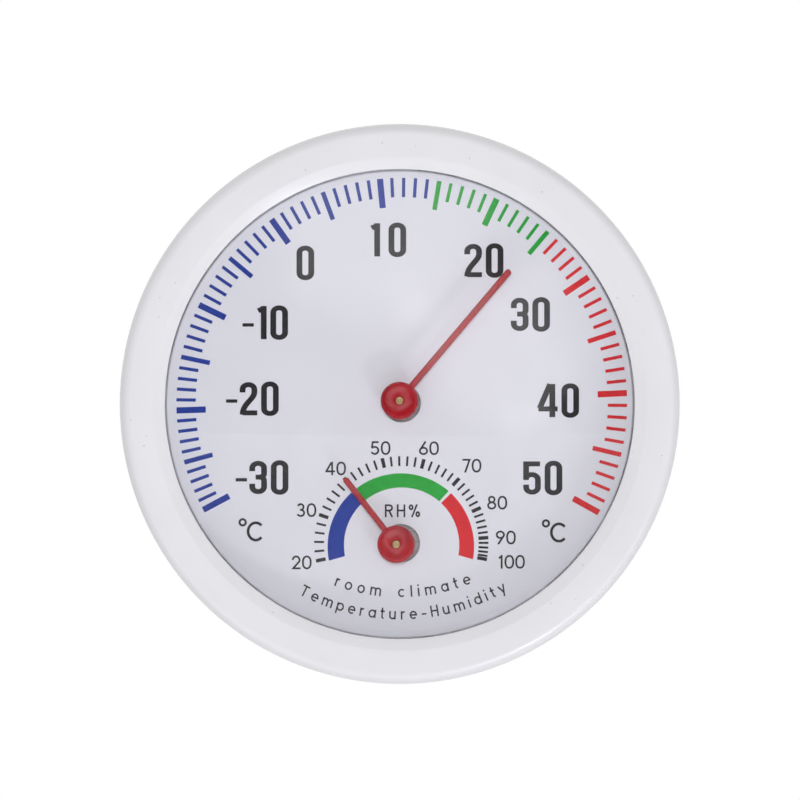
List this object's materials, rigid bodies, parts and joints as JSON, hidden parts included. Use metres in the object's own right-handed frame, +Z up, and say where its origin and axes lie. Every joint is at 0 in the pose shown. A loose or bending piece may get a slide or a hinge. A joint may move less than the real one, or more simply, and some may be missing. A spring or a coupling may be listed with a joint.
{
  "type": "dial hygrometer",
  "caption": "Round white wall dial with a coil thermometer pointer and a smaller relative humidity pointer under a clear domed lens.",
  "frame": {"origin": "centre of the round case on the plane of the wall that its back rests on", "axes": "+Z up the dial, +X to the reader's right, +Y into the wall, so the dial faces -Y"},
  "size_m": [0.073, 0.02, 0.073],
  "materials": {
    "white_gloss_plastic": "moulded, glossy",
    "clear_plastic": "polished clear moulding",
    "white_coated_metal": "white coated and printed",
    "zinc_plated_steel": "zinc plated sheet",
    "brass": "turned",
    "bimetal_strip": "rolled bimetal strip",
    "humidity_strip": "thin metal strip with a humidity sensitive coating",
    "aluminium": "plain",
    "red_plastic": "moulded, glossy"
  },
  "bodies": {
    "case": {"bezel_ring": "white_gloss_plastic", "case_ring": "white_gloss_plastic", "back_cover": "white_gloss_plastic", "cover_screws": "zinc_plated_steel", "lens": "clear_plastic", "dial_plate": "white_coated_metal", "thermo_bracket": "zinc_plated_steel", "thermo_front_bush": "brass", "thermo_rear_bush": "brass", "thermo_screws": "zinc_plated_steel", "thermo_coil": "bimetal_strip", "thermo_coil_rivet": "aluminium", "hygro_bracket": "zinc_plated_steel", "hygro_front_bush": "brass", "hygro_screws": "zinc_plated_steel"},
    "thermo_needle": {"thermo_pointer": "red_plastic", "thermo_spindle": "brass", "thermo_collar": "brass"},
    "hygro_zero": {"hygro_adjuster": "brass", "hygro_adjuster_arm": "zinc_plated_steel", "hygro_coil_rivet": "aluminium", "hygro_coil": "humidity_strip"},
    "hygro_needle": {"hygro_pointer": "red_plastic", "hygro_spindle": "brass", "hygro_collar": "brass"}
  },
  "joints": [
    {"name": "thermo_swing", "type": "hinge", "parent": "case", "child": "thermo_needle", "pos_m": [-0.00004, -0.0105, 0.00044], "axis": [0, -1, 0], "range_deg": [-78.7, 158.8], "stiffness_Nm_per_rad": 0.0034, "deforming": ["thermo_coil"]},
    {"name": "hygro_calibration", "type": "hinge", "parent": "case", "child": "hygro_zero", "pos_m": [-0.00047, -0.0105, -0.0182], "axis": [0, -1, 0], "range_deg": [-12, 12]},
    {"name": "hygro_swing", "type": "hinge", "parent": "hygro_zero", "child": "hygro_needle", "pos_m": [-0.00047, -0.0105, -0.0182], "axis": [0, -1, 0], "range_deg": [-139.5, 63.3], "stiffness_Nm_per_rad": 0.0003, "deforming": ["hygro_coil"]}
  ]
}
